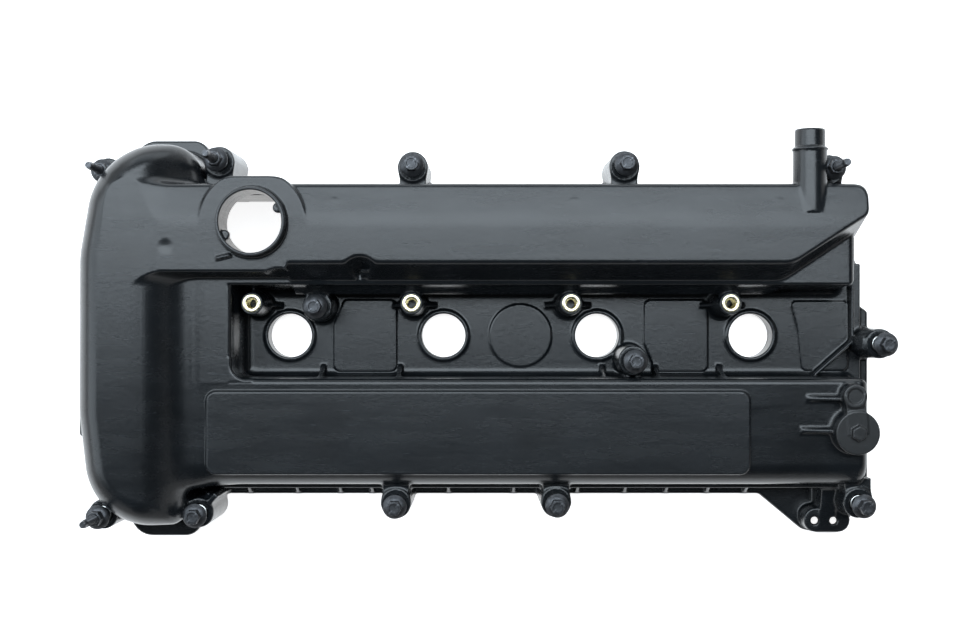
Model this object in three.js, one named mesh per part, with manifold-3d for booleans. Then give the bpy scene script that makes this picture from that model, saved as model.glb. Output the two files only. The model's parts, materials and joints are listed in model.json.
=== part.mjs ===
// Camshaft cover for the cylinder head of an in-line four-cylinder engine with two camshafts.
// One black moulding with captive bolts, steel spacer sleeves, brass coil inserts, rubber seals,
// a breather baffle and a push-in plug for the sensor port.
// Millimetres, +Z up. The design frame has its origin midway along the spark-plug row, on the
// sealing face; the exported group is moved so that its origin is under the middle of the part.
import * as THREE from "three";
import { mergeVertices } from "three/addons/utils/BufferGeometryUtils.js";
import Module from "manifold-3d";

const wasm = await Module();
wasm.setup();

// ---------------------------------------------------------------- driving dimensions
const WALL = 3; // thickness of the moulding
const GAP = 0.3; // clearance that touching pieces keep
const FLANGE_TOP = 8;
const FLOOR_TOP = 16; // floor of the spark-plug trough
const LEDGE_Z = 33; // step halfway up the exhaust-side wall
const BOSS_TOP = 46; // seat of every cover bolt
const COIL_POST_TOP = 50;
const ROOF_TOP = 58; // roof over each camshaft
const BOX_TOP = 75; // breather box and timing-chain dome
const FILLER_TOP = 84;
const BELOW = -20; // depth that hollows and cuts run to, well below the sealing face

const CYLINDER_PITCH = 96;
const PLUG_X = [-1.5, -0.5, 0.5, 1.5].map((n) => n * CYLINDER_PITCH);
const PLUG_BORE_R = 13.6;
const PLUG_RING_R = 15.9;
const PLUG_TUBE_LOW = 2.6;
const WELL_SEAL = { innerR: 14, outerR: 17.4, low: -0.5 };
const COIL_OFFSET = [-18.4, 19.6]; // coil screw from its spark plug
const COIL_POST = { r: 6.7, flare: 1.8, wallY: 31, ribDrops: [4, 8, 10, 16], reach: 14, shortReach: 12 };
const IN_FLOOR = 10; // where the trough's posts and ribs start, inside the floor's thickness
const INSERT = { r: 4.6, flangeR: 5.6, bore: 2.6, length: 13.4, flangeH: 1.6, proud: 0.4 };

const FILLER = { x: -157.8, y: 66.6, bore: 18.1, neck: 20.2, tubeLow: 55 };
const PLINTH = { r: 31.5, flatY: 93.8, low: 50 }; // level pad round the filler neck
const SPIGOT = { x: 169.2, z: 65.2, r: 9.9, endR: 8.9, bore: 6.5, rootY: 74, stepY: 111, endY: 122 };
const PORT = { x: 196.3, y: -56.6, r: 12, draft: 1.6, bore: 8.5, top: 68, low: 40, ribReach: 30 };
const EAR = {
  x: 194.8, y: -35, r: 6.2, draft: 0.8, insertR: 3.6, insertBore: 2.4, holeDepth: 13, ribReach: 24,
};
const CAP = { // the push-in plug of the sensor port
  r: 13.2, topR: 12.9, thick: 2.6, lobeR: 7.2, neckHalf: 5.9, stem: 12,
  hexX: 0.6, hexY: 0.8, hexR: 5.2, hexH: 3.4, dimpleR: 4.4, dimple: 0.7,
};
const DOME_END_X = -226.4; // where the timing-chain dome starts to fall
const SLOPE_END_X = -195.8; // where it meets the lower roof
const RIDGE_START_X = -232;
const INTAKE_END_X = 198;
const EXHAUST_END_X = 206.5;

// Cover bolts: place, the way to the wall that carries the boss (webAngle, in degrees), the width
// of the web that ties them, and whether the bolt carries a threaded stud on its head. The boss
// beside the dome is lower than the others.
const WIDE = 16;
const NARROW = 8;
const THIN = 3;
const BOLTS = [
  { x: -182.6, y: 105.5, webAngle: -100, web: THIN, stud: true },
  { x: -65.8, y: 102.4, webAngle: -90, web: WIDE },
  { x: 62.1, y: 102.9, webAngle: -90, web: WIDE },
  { x: 185.5, y: 100.5, webAngle: -90, web: WIDE, stud: true },
  { x: 216.5, y: -4.6, webAngle: 180, web: NARROW },
  { x: 203.4, y: -101, webAngle: 90, web: WIDE },
  { x: 20.8, y: -100.6, webAngle: 90, web: WIDE },
  { x: -76, y: -101.3, webAngle: 90, web: WIDE },
  { x: -195.1, y: -106.6, webAngle: 110, web: THIN },
  { x: -252.8, y: -107.5, webAngle: 45, web: THIN, stud: true },
  { x: -256, y: 101.2, webAngle: -45, web: THIN, stud: true, top: 24 },
  { x: -123.5, y: 17.9, webAngle: 90, web: THIN, inTrough: true },
  { x: 67.4, y: -14.7, webAngle: -90, web: THIN, inTrough: true },
];
const BOSS = { r: 9, footR: 9.6, reach: 14 };
const TROUGH_BOSS = { r: 9, footR: 9.6, reach: 11, low: IN_FLOOR };
const BOLT = {
  travel: 10, // how far a captive bolt drops from its raised rest to its seat
  shankR: 3,
  neckR: 2.6,
  flangeR: 7.2,
  flangeH: 2.2,
  rimH: 0.8,
  hexR: 4.62, // 8 mm across the flats
  hexH: 6.6,
  studR: 2.4,
  studH: 22,
  tipZ: 0.6,
};
const SLEEVE = { r: 5.2, bore: 4.1, low: 0.5, proud: 0.6 };
const RING = { r: 3.85, bore: 2.9, height: 4 }; // keeps a bolt captive inside its sleeve
const seatOf = (top) => top + SLEEVE.proud + GAP; // where a bolt's flange comes to rest
const ringLow = (top) => top / 2 + 4;

// Outlines are lists of corners [x, y, corner radius], anticlockwise.
const FLANGE = [
  [-271, -74, 22], [-240, -126.6, 14], [-205, -126.6, 10], [-192, -100, 4], [151, -100, 4],
  [178, -122.5, 6], [188, -124.8, 4], [203, -124.8, 5], [213, -108, 4], [219.8, -98, 4],
  [219.8, 15, 2], [211.8, 21, 2], [211.8, 96, 6], [-189, 96, 4], [-199, 123, 10],
  [-238, 123, 14], [-271, 62, 22],
];
const SEAL = [
  [-265.5, -72, 20], [-237, -120, 14], [-208, -120, 8], [-198, -94.3, 4], [209.5, -94.3, 6],
  [209.5, 90.3, 6], [-196, 90.3, 4], [-205, 116, 8], [-236, 116, 14], [-265.5, 60, 20],
];
const SEAL_WIDTH = 3;
const SEAL_PROUD = 0.8; // how far the gasket stands below the sealing face
const SEAL_DEPTH = 3.2; // how far it sits up in its groove
const TIMING = [
  [-263, 48, 60], [-263.3, -45, 80], [-255.6, -112.6, 40], [-203.5, -112.6, 0],
  [-201, -92, 0], [-173, -86, 0],
  [-173, 80, 0], [-190, 86, 0], [-197, 114.6, 18], [-251.7, 114.6, 45],
];
// The foot of the breather box on the camshaft roof. Its sides lean in by BOX_LEAN on the way up.
// Towards the timing end its front wall stands further out and is nearly upright.
const BOX_FOOT = [[-260, 32, 0], [162, 32, 0], [236, 81.5, 0], [236, 130, 0], [-260, 130, 0]];
const BOX_LEAN = 11;
const STEP_FOOT = [[-260, 35, 0], [-138, 35, 0], [-138, 80, 0], [-260, 80, 0]];
const STEP_LEAN = 2.5;
const BOX_SECTION = [[0, 30, 0], [90, 30, 0], [90, 69, 4], [81.5, BOX_TOP, 20], [0, BOX_TOP, 0]];
const BOX_ENDS = [-232, 202];
const NOTCH = { x: -95.3, y: 36.1, r: 10.8 };
const TROUGH_FLOOR = [[-180, -45, 3], [213, -45, 3], [213, 45, 3], [-180, 45, 3]];
// Cross-sections of the two camshaft ridges, as corners [y, z, corner radius].
const INTAKE_SECTION = [[22.6, BELOW, 0], [88, BELOW, 0], [88, ROOF_TOP, 6], [31.3, ROOF_TOP, 3]];
const EXHAUST_SECTION = [[-90.8, BELOW, 0], [-25.2, BELOW, 0], [-25.2, ROOF_TOP, 3], [-89.4, 56.5, 13]];
const RAISED_PANEL = [[-188.2, -82.4, 6], [135.4, -82.4, 6], [135.4, -32.6, 6], [-188.2, -32.6, 6]];
const FLOOR_PADS = [
  [[-116.6, -22.4, 4], [-77.3, -22.4, 4], [-77.3, 22.2, 4], [-110, 22.2, 3], [-116.6, 7.7, 3]],
  [[84.5, -22.4, 3], [117.2, -22.4, 4], [117.2, 22.2, 4], [77.5, 22.2, 4], [77.5, -5, 3]],
  [[176, -22, 4], [205, -22, 4], [205, 21.6, 3], [168.8, 21.6, 3], [173.4, 4, 12]],
];
const WELL_PAD = { r: 19.7, rise: 0.8 }; // round pad between the second and third wells
const PAD_RISE = 1.2;
const BRACKET_PAD = [[175.8, -121.9, 7], [204.3, -121.9, 7], [204.3, -106.7, 7], [175.8, -106.7, 7]];
const BRACKET = { low: 2, top: 24, holeR: 2, holeX: [182.4, 193.9], holeY: -114.7 };
const LOW_WALL = [[-93.4, BELOW, 0], [-80, BELOW, 0], [-80, LEDGE_Z, 0], [-93.4, LEDGE_Z, 0]];
const LOW_WALL_ENDS = [-185, 200];
const TAB = { x0: -280, x1: -262, y0: -64.4, y1: -41.6, top: 5 };
const FLANGE_GUSSETS_X = [-170, -140, -113, -93, -45, -4, 36, 66, 92, 118, 142];
const FLANGE_GUSSET = { y0: -88, y1: -99.6, low: 4, width: 1.8 };
const TROUGH_GUSSETS_X = [-123, -75, 51, 84, 124];
const TROUGH_GUSSET = { y0: -26, y1: -18.5, width: 2 };
const END_RIB = { from: [206, 30], bend: [206, -3.6], to: [179.5, -26], rise: 8, width: 2.4 };

// The breather baffle: a plate that six screws hold up to posts under the breather box's roof.
const BAFFLE_PLATE = [[-128, 38, 6], [178, 38, 6], [184, 50, 4], [184, 82, 6], [-128, 82, 6]];
const BAFFLE_POSTS = [[-110, 52], [-110, 76], [30, 52], [30, 76], [150, 54], [150, 76]];
const BAFFLE = { low: 46, top: 49, postR: 4.2, pilotR: 1.7, holeR: 2 };
const BAFFLE_SCREW = { r: 1.4, headR: 3.6, headH: 2.3, reach: 8 };
const DRAINS = [[-60, 60], [90, 60]];
const DRAIN = { r: 6, mouthR: 8, bore: 4, low: 40 };

// ---------------------------------------------------------------- shape helpers
const BIG = 900;
const CURVE_STEPS = 2;

// A corner's own place, the directions to its two neighbours, and half the angle between them.
function cornerSides(corners, i) {
  const [x, y] = corners[i];
  const [backX, backY] = corners.at(i - 1);
  const [onX, onY] = corners[(i + 1) % corners.length];
  const here = new THREE.Vector2(x, y);
  const back = new THREE.Vector2(backX, backY).sub(here).normalize();
  const on = new THREE.Vector2(onX, onY).sub(here).normalize();
  const half = Math.acos(THREE.MathUtils.clamp(back.dot(on), -1, 1)) / 2;
  const middle = back.clone().add(on).normalize();
  return { here, back, on, half, middle };
}

// A closed shape through the corners, each rounded by an arc of its own radius.
function outline(corners) {
  const shape = new THREE.Shape();
  corners.forEach(([, , r = 0], i) => {
    const { here, back, on, half, middle } = cornerSides(corners, i);
    const start = here.clone().addScaledVector(back, r / Math.tan(half));
    if (i === 0) {
      shape.moveTo(start.x, start.y);
    } else {
      shape.lineTo(start.x, start.y);
    }
    if (r > 0) {
      const end = here.clone().addScaledVector(on, r / Math.tan(half));
      const centre = here.clone().addScaledVector(middle, r / Math.sin(half));
      const from = start.sub(centre).angle();
      const to = end.sub(centre).angle();
      shape.absarc(centre.x, centre.y, r, from, to, on.cross(back) < 0);
    }
  });
  shape.closePath();
  return shape;
}

// A three.js geometry as a manifold-3d solid.
function solid(geometry) {
  const bare = new THREE.BufferGeometry();
  bare.setAttribute("position", geometry.getAttribute("position"));
  bare.setIndex(geometry.index);
  const merged = mergeVertices(bare, 1e-4);
  return new wasm.Manifold(
    new wasm.Mesh({
      numProp: 3,
      vertProperties: merged.attributes.position.array,
      triVerts: new Uint32Array(merged.index.array),
    }),
  );
}

function union(solids) {
  return solids.reduce((all, one) => all.add(one));
}

// The same corners with every side moved inwards by `inset`.
function drawnIn(corners, inset) {
  return corners.map(([x, y, r = 0], i) => {
    const { back, on, half, middle } = cornerSides(corners, i);
    const outward = on.cross(back) > 0 ? 1 : -1;
    const move = middle.clone().multiplyScalar((outward * inset) / Math.sin(half));
    return [x + move.x, y + move.y, r === 0 ? 0 : Math.max(r - outward * inset, 0)];
  });
}

// A slab of an outline between two heights, drawn in by `inset`. Its top edge is rounded by `edge`,
// or falls away by `edge` over a height of `drop`. The same rounding is repeated below `low`.
// Corners tighter than that rounding are left sharp.
function slab(corners, low, high, options = {}) {
  const { edge = 0, drop = edge, inset = 0, rings = 2, steps = CURVE_STEPS } = options;
  const drawn = drawnIn(corners, inset).map(([x, y, r]) => [x, y, r > edge ? r : 0]);
  const geometry = new THREE.ExtrudeGeometry(outline(drawn), {
    depth: high - low - drop,
    curveSegments: steps,
    bevelEnabled: edge > 0,
    bevelThickness: drop,
    bevelSize: edge,
    bevelOffset: -edge,
    bevelSegments: rings,
  });
  return geometry.translate(0, 0, low);
}

// The same slab, of a cross-section [y, z] that runs along X.
function alongX(section, x0, x1, options = {}) {
  const turn = new THREE.Matrix4().makeBasis(
    new THREE.Vector3(0, 1, 0), new THREE.Vector3(0, 0, 1), new THREE.Vector3(1, 0, 0));
  const { edge = 0, inset = 0 } = options;
  return slab(section, x0 + edge + inset, x1 - inset, options).applyMatrix4(turn);
}

function box(x0, x1, y0, y1, z0, z1) {
  const g = new THREE.BoxGeometry(x1 - x0, y1 - y0, z1 - z0);
  return solid(g.translate((x0 + x1) / 2, (y0 + y1) / 2, (z0 + z1) / 2));
}

// An upright cylinder or cone frustum.
function drum(x, y, z0, z1, rLow, { rHigh = rLow, sides = 10 } = {}) {
  const g = new THREE.CylinderGeometry(rHigh, rLow, z1 - z0, sides).rotateX(Math.PI / 2);
  return solid(g.translate(x, y, (z0 + z1) / 2));
}

// A solid of revolution about the Z axis, from profile points [r, z].
function turned(profile, sides) {
  const points = profile.map(([r, z]) => new THREE.Vector2(r, z));
  return solid(new THREE.LatheGeometry(points, sides).rotateX(Math.PI / 2));
}

// A thin upright wall from (x0, y0) to (x1, y1), with its own height at each end.
function rib([x0, y0], [x1, y1], zLow, [zHigh0, zHigh1], thickness) {
  const length = Math.hypot(x1 - x0, y1 - y0);
  const side = new THREE.Shape([
    new THREE.Vector2(0, zLow), new THREE.Vector2(length, zLow),
    new THREE.Vector2(length, zHigh1), new THREE.Vector2(0, zHigh0),
  ]);
  const g = new THREE.ExtrudeGeometry(side, { depth: thickness, bevelEnabled: false });
  g.translate(0, 0, -thickness / 2).rotateX(Math.PI / 2);
  return solid(g.rotateZ(Math.atan2(y1 - y0, x1 - x0)).translate(x0, y0, 0));
}

// ---------------------------------------------------------------- the moulding
const DOME = { edge: 16, curveSteps: 6, overlap: 0.4, tail: 60 };

// The side view of the timing-chain dome: flat at BOX_TOP, then an S-curve down to the lower roof.
function domeSection(inset) {
  const { curveSteps, overlap, tail } = DOME;
  const foot = ROOF_TOP - overlap;
  const corners = [[SLOPE_END_X + tail, BELOW], [SLOPE_END_X + tail, foot - inset]];
  for (let i = 0; i <= curveSteps; i += 1) {
    const t = i / curveSteps;
    const rise = t * t * (3 - 2 * t);
    corners.push([
      THREE.MathUtils.lerp(SLOPE_END_X, DOME_END_X, t),
      THREE.MathUtils.lerp(foot, BOX_TOP + 0.6, rise) - inset,
    ]);
  }
  corners.push([DOME_END_X - 1, 2 * BOX_TOP], [-BIG, 2 * BOX_TOP], [-BIG, BELOW]);
  const shape = new THREE.Shape(corners.map(([x, z]) => new THREE.Vector2(x, z)));
  const g = new THREE.ExtrudeGeometry(shape, { depth: BIG, bevelEnabled: false });
  return solid(g.rotateX(Math.PI / 2).translate(0, BIG / 2, 0));
}

function dome(inset) {
  const edge = DOME.edge - inset;
  const block = solid(slab(TIMING, BELOW, BOX_TOP - inset, { edge, inset, rings: 3, steps: 4 }));
  return block.intersect(domeSection(inset));
}

// The raised box along the intake side that holds the oil separator.
function breatherBox(inset) {
  const rise = BOX_TOP - ROOF_TOP;
  const leaning = solid(slab(BOX_FOOT, ROOF_TOP, BOX_TOP, { edge: BOX_LEAN, drop: rise, inset, rings: 1 }));
  const step = solid(slab(STEP_FOOT, ROOF_TOP, BOX_TOP, { edge: STEP_LEAN, drop: rise, inset, rings: 1 }));
  const chamber = solid(alongX(BOX_SECTION, ...BOX_ENDS, { edge: 3, inset }));
  const notch = drum(NOTCH.x, NOTCH.y, 0, 2 * BOX_TOP, NOTCH.r + inset);
  return leaning.add(step).intersect(chamber).subtract(notch);
}

// A level pad that carries the filler neck out over the falling back of the box.
function fillerPlinth(inset) {
  const { r, flatY, low } = PLINTH;
  const disc = drum(FILLER.x, FILLER.y, low + inset, BOX_TOP - inset, r - inset, { sides: 24 });
  return disc.intersect(box(-BIG, BIG, ROOF_TOP, flatY - inset, 0, BIG));
}

// The volumes that make the cover's form. With inset 0 they are its outside, and with inset WALL
// the hollow inside it.
function volumes(inset) {
  const intake = solid(alongX(INTAKE_SECTION, RIDGE_START_X, INTAKE_END_X, { edge: 2, inset }));
  const exhaust = solid(alongX(EXHAUST_SECTION, RIDGE_START_X, EXHAUST_END_X, { edge: 2.5, inset }));
  const floor = solid(slab(TROUGH_FLOOR, BELOW, FLOOR_TOP - inset, { inset }));
  return union([dome(inset), intake, exhaust, breatherBox(inset), fillerPlinth(inset), floor]);
}

function flange() {
  const plate = solid(slab(FLANGE, BELOW, FLANGE_TOP));
  const tab = box(TAB.x0, TAB.x1, TAB.y0, TAB.y1, 0, TAB.top);
  const lowWall = solid(alongX(LOW_WALL, ...LOW_WALL_ENDS));
  return union([plate, tab, lowWall]);
}

// One bolt boss: a slightly tapered post, and the web that ties it to the wall behind it.
function boss({ x, y, webAngle, web, inTrough, top = BOSS_TOP }) {
  const { r, footR, reach, low = 0 } = inTrough ? TROUGH_BOSS : BOSS;
  const angle = THREE.MathUtils.degToRad(webAngle);
  const far = [x + reach * Math.cos(angle), y + reach * Math.sin(angle)];
  const post = drum(x, y, low, top, footR, { rHigh: r, sides: 12 });
  const tie = rib([x, y], far, low, [top - 1, top - 1], web);
  const foot = drum(x, y, 0, FLOOR_TOP, SLEEVE.r + 1.6);
  return union([post, tie, foot]);
}

// The posts that the ignition coils screw down on, each with a tie to the wall and two gussets.
function coilPosts() {
  const { r, flare, wallY, ribDrops, reach, shortReach } = COIL_POST;
  const foot = FLOOR_TOP + 1;
  const [tieTop, wallTop, rightTop, leftTop] = ribDrops.map((drop) => COIL_POST_TOP - drop);
  return PLUG_X.map((plug, i) => {
    const [x, y] = [plug + COIL_OFFSET[0], COIL_OFFSET[1]];
    const far = i === 0 ? shortReach : reach;
    const post = drum(x, y, IN_FLOOR, COIL_POST_TOP, r + flare, { rHigh: r });
    const tie = rib([x, y], [x, wallY], IN_FLOOR, [tieTop, wallTop], 2);
    const right = rib([x, y], [x + far, y - 1], IN_FLOOR, [rightTop, foot], 2);
    const left = rib([x, y], [x - far, y - 1], IN_FLOOR, [leftTop, foot], 2);
    return union([post, tie, right, left]);
  });
}

function plugTubes() {
  const ring = { rHigh: PLUG_RING_R, sides: 20 };
  return PLUG_X.map((x) => drum(x, 0, PLUG_TUBE_LOW, FLOOR_TOP + 1.5, PLUG_RING_R + 1, ring));
}

// The low ribs at the trough's rear end, and the rows of gussets along its two long sides.
function stiffeners() {
  const { from, bend, to, rise, width } = END_RIB;
  const endTops = [FLOOR_TOP + rise, FLOOR_TOP + rise];
  const endRibs = [rib(from, bend, IN_FLOOR, endTops, width), rib(bend, to, IN_FLOOR, endTops, width)];
  const flangeTops = [LEDGE_Z - 1, FLANGE_TOP];
  const onFlange = FLANGE_GUSSETS_X.map((x) => rib(
    [x, FLANGE_GUSSET.y0], [x, FLANGE_GUSSET.y1], FLANGE_GUSSET.low, flangeTops, FLANGE_GUSSET.width));
  const floorTops = [BOSS_TOP - 2, FLOOR_TOP + 1];
  const onFloor = TROUGH_GUSSETS_X.map((x) => rib(
    [x, TROUGH_GUSSET.y0], [x, TROUGH_GUSSET.y1], IN_FLOOR, floorTops, TROUGH_GUSSET.width));
  return [...endRibs, ...onFlange, ...onFloor];
}

// The raised seat of the sensor port's plug, with two ribs that run out along the roof.
function sensorPort() {
  const { x, y, low } = PORT;
  const top = PORT.top - GAP;
  const ribTops = [ROOF_TOP - 2, PORT.top - 2];
  const [portRibY, earRibY, linkHalf] = [y + 0.5, EAR.y - 2, 5];
  return union([
    drum(x, y, low, top, PORT.r - PORT.draft, { rHigh: PORT.r, sides: 20 }),
    drum(EAR.x, EAR.y, low, top, EAR.r + EAR.draft, { rHigh: EAR.r }),
    box(EAR.x - linkHalf, EAR.x + linkHalf, y, EAR.y, low + 4, top - 1),
    rib([x - PORT.ribReach, portRibY], [x, portRibY], low, ribTops, 2),
    rib([EAR.x - EAR.ribReach, earRibY], [EAR.x, earRibY], low, ribTops, 2),
  ]);
}

function fillerNeck() {
  return drum(FILLER.x, FILLER.y, FILLER.tubeLow, FILLER_TOP, FILLER.neck, { sides: 24 });
}

function breatherSpigot() {
  const { x, z, r, endR, rootY, stepY, endY } = SPIGOT;
  const profile = [[0, rootY], [r, rootY], [r, stepY], [endR, stepY + 0.5],
    [endR, endY - 1], [endR - 0.7, endY], [0, endY]];
  const points = profile.map(([radius, y]) => new THREE.Vector2(radius, y));
  return solid(new THREE.LatheGeometry(points, 16).translate(x, 0, z));
}

function breatherBore() {
  const { x, z, bore, rootY, endY } = SPIGOT;
  const [start, end] = [rootY - 1, endY + 1];
  const g = new THREE.CylinderGeometry(bore, bore, end - start, 16);
  return solid(g.translate(x, (start + end) / 2, z));
}

// Everything that is cut out of the moulding after its pieces are joined.
function mouldingCuts() {
  const above = 2 * BOX_TOP;
  const coilX = PLUG_X.map((x) => x + COIL_OFFSET[0]);
  const [coilY, insertLow] = [COIL_OFFSET[1], COIL_POST_TOP + INSERT.proud - INSERT.length];
  const flangeLow = COIL_POST_TOP + INSERT.proud - INSERT.flangeH - GAP;
  return union([
    box(-BIG, BIG, -BIG, BIG, 2 * BELOW, 0),
    ...BOLTS.map(({ x, y }) => drum(x, y, -1, BOSS_TOP + 1, SLEEVE.r + GAP)),
    ...PLUG_X.map((x) => drum(x, 0, -1, LEDGE_Z, PLUG_BORE_R, { sides: 20 })),
    ...coilX.map((x) => drum(x, coilY, insertLow - 1, above, INSERT.r + GAP)),
    ...coilX.map((x) => drum(x, coilY, flangeLow, above, INSERT.flangeR + GAP)),
    drum(FILLER.x, FILLER.y, FLOOR_TOP, above, FILLER.bore, { sides: 24 }),
    drum(PORT.x, PORT.y, FLOOR_TOP, above, PORT.bore, { sides: 16 }),
    drum(EAR.x, EAR.y, PORT.top - EAR.holeDepth, above, EAR.insertR + GAP, { sides: 16 }),
    ...BRACKET.holeX.map((x) => drum(x, BRACKET.holeY, -1, BOSS_TOP, BRACKET.holeR, { sides: 8 })),
    ...BAFFLE_POSTS.map(([x, y]) => drum(x, y, BAFFLE.low, BAFFLE.top + 9, BAFFLE.pilotR, { sides: 8 })),
    breatherBore(),
    sealRing(GAP, SEAL_DEPTH + GAP),
  ]);
}

function moulding() {
  const shell = volumes(0).add(flange()).subtract(volumes(WALL));
  const bafflePosts = BAFFLE_POSTS.map(([x, y]) => (
    drum(x, y, BAFFLE.top + GAP, BOX_TOP - 1, BAFFLE.postR, { sides: 8 })));
  const body = union([
    shell, fillerNeck(), breatherSpigot(), sensorPort(),
    ...BOLTS.map(boss), ...coilPosts(), ...plugTubes(), ...stiffeners(), ...bafflePosts,
    solid(slab(BRACKET_PAD, BRACKET.low, BRACKET.top, { edge: 1, rings: 1 })),
    solid(slab(RAISED_PANEL, ROOF_TOP - 2, ROOF_TOP + PAD_RISE)),
    drum(0, 0, FLOOR_TOP - 2, FLOOR_TOP + WELL_PAD.rise, WELL_PAD.r, { sides: 20 }),
    ...FLOOR_PADS.map((pad) => solid(slab(pad, FLOOR_TOP - 2, FLOOR_TOP + PAD_RISE))),
  ]);
  return body.subtract(mouldingCuts());
}

// ---------------------------------------------------------------- seals, baffle and hardware
// The perimeter gasket, or with a clearance the groove that holds it.
function sealRing(clearance, top) {
  const outer = solid(slab(SEAL, -SEAL_PROUD, top, { inset: -clearance }));
  const inner = solid(slab(SEAL, -SEAL_PROUD - 1, top + 1, { inset: SEAL_WIDTH + clearance }));
  return outer.subtract(inner);
}

// A ring or tube with a plain rectangular section.
function ring(inner, outer, low, high, sides) {
  return turned([[inner, low], [outer, low], [outer, high], [inner, high], [inner, low]], sides);
}

function plugSeal() {
  return ring(WELL_SEAL.innerR, WELL_SEAL.outerR, WELL_SEAL.low, PLUG_TUBE_LOW - GAP, 20);
}

function coilInsert() {
  const { r, flangeR, bore, length, flangeH, proud } = INSERT;
  const high = COIL_POST_TOP + proud;
  const low = high - length;
  return turned([[bore, low], [r - 0.4, low], [r, low + 1], [r, high - flangeH],
    [flangeR, high - flangeH], [flangeR, high], [bore, high], [bore, low]], 12);
}

function portInsert() {
  return ring(EAR.insertBore, EAR.insertR, PORT.top - EAR.holeDepth + 1, PORT.top - 0.6, 16);
}

function sleeve(top) {
  return ring(SLEEVE.bore, SLEEVE.r, SLEEVE.low, top + SLEEVE.proud, 10);
}

function retainingRing(top) {
  const low = ringLow(top);
  return ring(RING.bore, RING.r, low + GAP, low + RING.height - GAP, 10);
}

function bolt(top, stud) {
  const { shankR, neckR, flangeR, flangeH, rimH, hexR, hexH, tipZ } = BOLT;
  const seat = seatOf(top) + BOLT.travel;
  const flangeTop = seat + flangeH;
  const hexTop = flangeTop + hexH;
  const neckLow = ringLow(top);
  const neckHigh = neckLow + RING.height;
  const body = turned([[0, tipZ], [shankR - 0.8, tipZ], [shankR, tipZ + 1], [shankR, neckLow],
    [neckR, neckLow], [neckR, neckHigh], [shankR, neckHigh], [shankR, seat],
    [flangeR, seat], [flangeR, seat + rimH], [hexR, flangeTop], [0, flangeTop]], 9);
  const hex = drum(0, 0, flangeTop - rimH, hexTop, hexR, { sides: 6 });
  const made = body.add(hex);
  return stud ? made.add(drum(0, 0, hexTop - 1, hexTop + BOLT.studH, BOLT.studR)) : made;
}

function baffle() {
  const { low, top, holeR } = BAFFLE;
  const plate = solid(slab(BAFFLE_PLATE, low, top));
  const flare = { rHigh: DRAIN.mouthR, sides: 12 };
  const spouts = DRAINS.map(([x, y]) => drum(x, y, DRAIN.low, top, DRAIN.r, flare));
  const drains = DRAINS.map(([x, y]) => drum(x, y, FLOOR_TOP, ROOF_TOP, DRAIN.bore));
  const holes = BAFFLE_POSTS.map(([x, y]) => drum(x, y, low - 1, top + 1, holeR, { sides: 8 }));
  return union([plate, ...spouts]).subtract(union([...drains, ...holes]));
}

function baffleScrew() {
  const { r, headR, headH, reach } = BAFFLE_SCREW;
  const seat = BAFFLE.low - GAP;
  const tip = BAFFLE.top + reach;
  return turned([[0, seat - headH], [headR, seat - headH], [headR, seat], [r, seat], [r, tip], [0, tip]], 8);
}

// The push-in plug: a disc with a hex boss and a stem, and a neck to a smaller lobe over the ear.
function portPlug() {
  const { r, topR, thick, lobeR, neckHalf, stem, hexX, hexY, hexR, hexH, dimpleR, dimple } = CAP;
  const low = PORT.top;
  const top = low + thick;
  const stemR = PORT.bore - GAP;
  return union([
    drum(PORT.x, PORT.y, low, top, r, { rHigh: topR, sides: 20 }),
    drum(EAR.x, EAR.y, low, top, lobeR, { sides: 24 }),
    box(EAR.x - neckHalf, EAR.x + neckHalf, PORT.y, EAR.y, low, top - 0.4),
    drum(PORT.x + hexX, PORT.y + hexY, low + 1, top + hexH, hexR, { sides: 6 }),
    drum(PORT.x, PORT.y, low - stem, low + 1, stemR - 0.5, { rHigh: stemR, sides: 24 }),
  ]).subtract(drum(EAR.x, EAR.y, top - dimple, top + 1, dimpleR, { sides: 20 }));
}

// ---------------------------------------------------------------- the assembly
const plastic = new THREE.MeshStandardMaterial({ color: 0x1b1e22, roughness: 0.5, metalness: 0 });
const rubber = new THREE.MeshStandardMaterial({ color: 0x141414, roughness: 0.85, metalness: 0 });
const zinc = new THREE.MeshStandardMaterial({ color: 0xc8c9c6, roughness: 0.3, metalness: 1 });
const brass = new THREE.MeshStandardMaterial({ color: 0xcdb469, roughness: 0.3, metalness: 1 });
const blackSteel = new THREE.MeshStandardMaterial({ color: 0x24262a, roughness: 0.42, metalness: 0.9 });
const nylon = new THREE.MeshStandardMaterial({ color: 0xd9d6cc, roughness: 0.6, metalness: 0 });

const assembly = new THREE.Group();

function place(name, made, material, x = 0, y = 0) {
  const mesh = made.getMesh();
  const geometry = new THREE.BufferGeometry();
  geometry.setAttribute("position", new THREE.BufferAttribute(mesh.vertProperties, 3));
  geometry.setIndex(new THREE.BufferAttribute(mesh.triVerts, 1));
  const piece = new THREE.Mesh(geometry.toNonIndexed(), material);
  piece.geometry.computeVertexNormals();
  piece.name = name;
  piece.position.set(x, y, 0);
  assembly.add(piece);
}

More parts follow.
